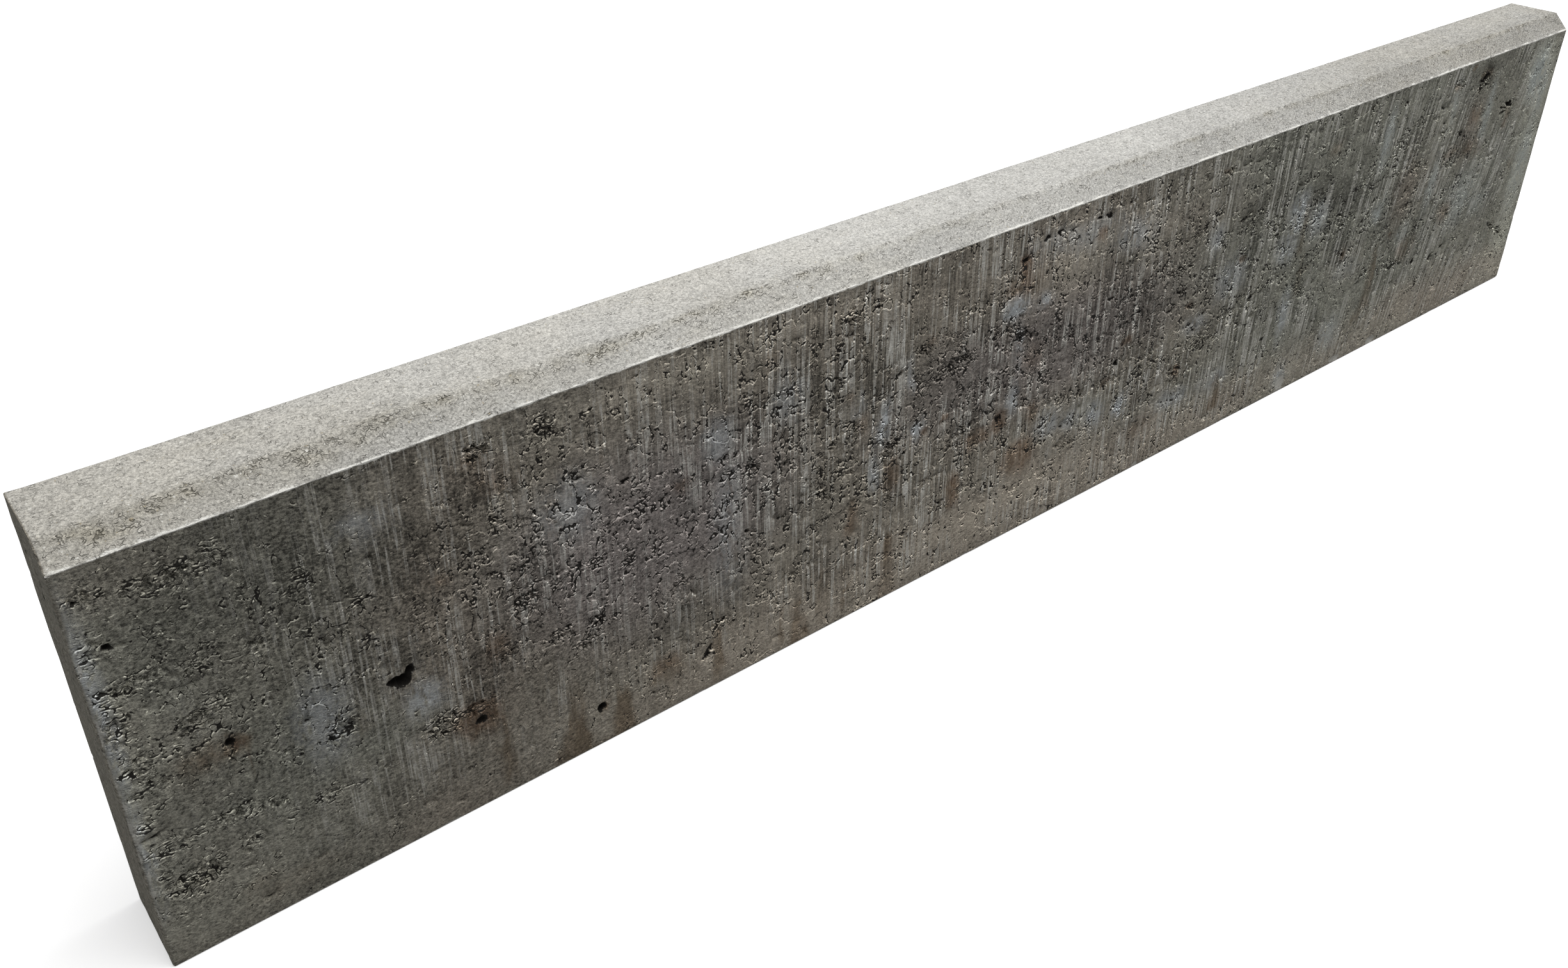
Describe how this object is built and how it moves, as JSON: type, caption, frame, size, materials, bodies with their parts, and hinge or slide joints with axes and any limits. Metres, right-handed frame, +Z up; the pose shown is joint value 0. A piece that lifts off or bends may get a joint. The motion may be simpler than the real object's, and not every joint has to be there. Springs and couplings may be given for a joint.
{
  "type": "concrete kerb stone",
  "caption": "Straight concrete edging kerb with one splayed front top edge, laid end to end along a path, lawn or bed.",
  "frame": {"origin": "middle of the bed, on the level the kerb stands on", "axes": "+X along the kerb's length, +Y from the splayed front face to the plain back face, +Z up from the bed to the top"},
  "size_m": [1, 0.043, 0.2],
  "materials": {
    "concrete": "dry-cast grey concrete, drag-marked and pitted on the front, open and sandy on the top and splay"
  },
  "bodies": {
    "root": {"kerb_stone": "concrete"}
  },
  "joints": []
}
